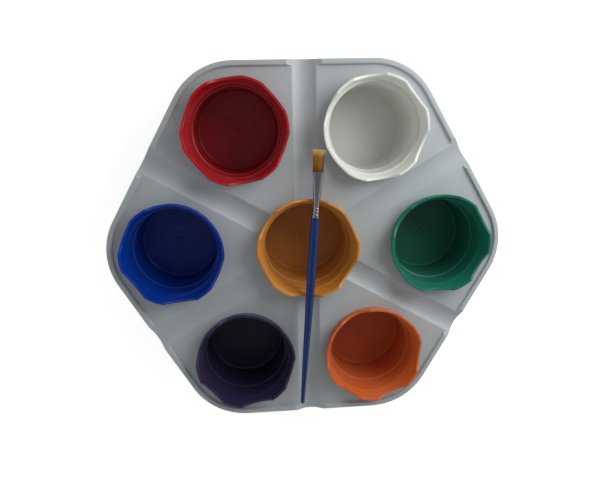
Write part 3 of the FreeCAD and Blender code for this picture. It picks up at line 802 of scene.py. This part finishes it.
def make_sky(stage):
    """Soft light all round: a white band above the horizon that dims towards the zenith."""
    world = bpy.data.worlds.new("soft_light")
    world.use_nodes = True
    tree = world.node_tree
    direction = place(tree, "ShaderNodeTexCoord").outputs["Generated"]
    height = place(tree, "ShaderNodeSeparateXYZ", {0: direction}).outputs["Z"]
    strength = place(tree, "ShaderNodeMapRange", {
        "Value": height, "From Min": stage.sky_band, "From Max": stage.sky_dimmed,
        "To Min": stage.sky_horizon, "To Max": stage.sky_zenith}).outputs["Result"]
    feed_inputs(tree, tree.nodes["Background"], Color=WHITE, Strength=strength)
    bpy.context.scene.world = world


# Operators

class CADDY_OT_tray(bpy.types.Operator):
    """Give the tray its satin moulded plastic"""

    bl_idname = "caddy.tray"
    bl_label = "Tray"

    def execute(self, context):
        plastics = context.scene.caddy_plastics
        finish = make_plastic("tray_plastic", plastics.tray, plastics.tray_roughness,
                              plastics.tray_reflection, plastics, "tray")
        dress("tray", finish)
        return {"FINISHED"}


class CADDY_OT_cups(bpy.types.Operator):
    """Give each of the seven cups its coloured plastic"""

    bl_idname = "caddy.cups"
    bl_label = "Cups"

    def execute(self, context):
        plastics = context.scene.caddy_plastics
        for name in CUP_NAMES:
            slot = name.replace("cup", "plastic")
            color = getattr(plastics, name)
            finish = make_plastic(slot, color, plastics.cup_roughness, plastics.cup_reflection,
                                  plastics, name, turned=True)
            dress(name, finish)
        return {"FINISHED"}


class CADDY_OT_brush_body(bpy.types.Operator):
    """Give the brush's handle, ferrule and glue their finishes"""

    bl_idname = "caddy.brush_body"
    bl_label = "Brush body"

    def execute(self, context):
        colors = context.scene.caddy_brush
        brush = BrushFrame()
        dress("brush_handle", make_lacquer(brush, colors))
        dress("brush_ferrule", make_metal(brush, colors))
        dress("brush_glue_plug", make_glue(colors))
        return {"FINISHED"}


class CADDY_OT_brush_tuft(bpy.types.Operator):
    """Build the tuft of the brush out of single bristles"""

    bl_idname = "caddy.brush_tuft"
    bl_label = "Brush tuft"

    def execute(self, context):
        colors = context.scene.caddy_brush
        tuft = make_tuft(BrushFrame(), colors)
        tuft.data.materials.append(make_bristle(colors))
        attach(tuft, "brush")
        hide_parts("brush_tuft")
        return {"FINISHED"}


class CADDY_OT_stage(bpy.types.Operator):
    """Set up the camera, the floor and the light"""

    bl_idname = "caddy.stage"
    bl_label = "Stage"

    def execute(self, context):
        stage = context.scene.caddy_stage
        context.scene.view_settings.view_transform = "Standard"
        add_camera(stage)
        add_floor(stage)
        add_key_light(stage)
        make_sky(stage)
        return {"FINISHED"}


OPERATORS = (CADDY_OT_tray, CADDY_OT_cups, CADDY_OT_brush_body, CADDY_OT_brush_tuft, CADDY_OT_stage)
GROUPS = {"caddy_plastics": CaddyPlastics, "caddy_brush": CaddyBrush, "caddy_stage": CaddyStage}


class CADDY_PT_sidebar(bpy.types.Panel):
    """Lists the caddy's values and steps"""

    bl_idname = "CADDY_PT_sidebar"
    bl_label = "Paint Caddy"
    bl_space_type = "VIEW_3D"
    bl_region_type = "UI"
    bl_category = "Caddy"

    def draw(self, context):
        for name, group in GROUPS.items():
            box = self.layout.box()
            for value in group.__annotations__:
                box.prop(getattr(context.scene, name), value)
        for operator in OPERATORS:
            self.layout.operator(operator.bl_idname)


def register():
    for group in GROUPS.values():
        bpy.utils.register_class(group)
    for name, group in GROUPS.items():
        setattr(bpy.types.Scene, name, PointerProperty(type=group))
    for listed in (*OPERATORS, CADDY_PT_sidebar):
        bpy.utils.register_class(listed)


def unregister():
    for listed in (CADDY_PT_sidebar, *reversed(OPERATORS)):
        bpy.utils.unregister_class(listed)
    for name in GROUPS:
        delattr(bpy.types.Scene, name)
    for group in GROUPS.values():
        bpy.utils.unregister_class(group)


def main():
    register()
    bpy.ops.caddy.tray()
    bpy.ops.caddy.cups()
    bpy.ops.caddy.brush_body()
    bpy.ops.caddy.brush_tuft()
    bpy.ops.caddy.stage()


if __name__ == "__main__":
    main()
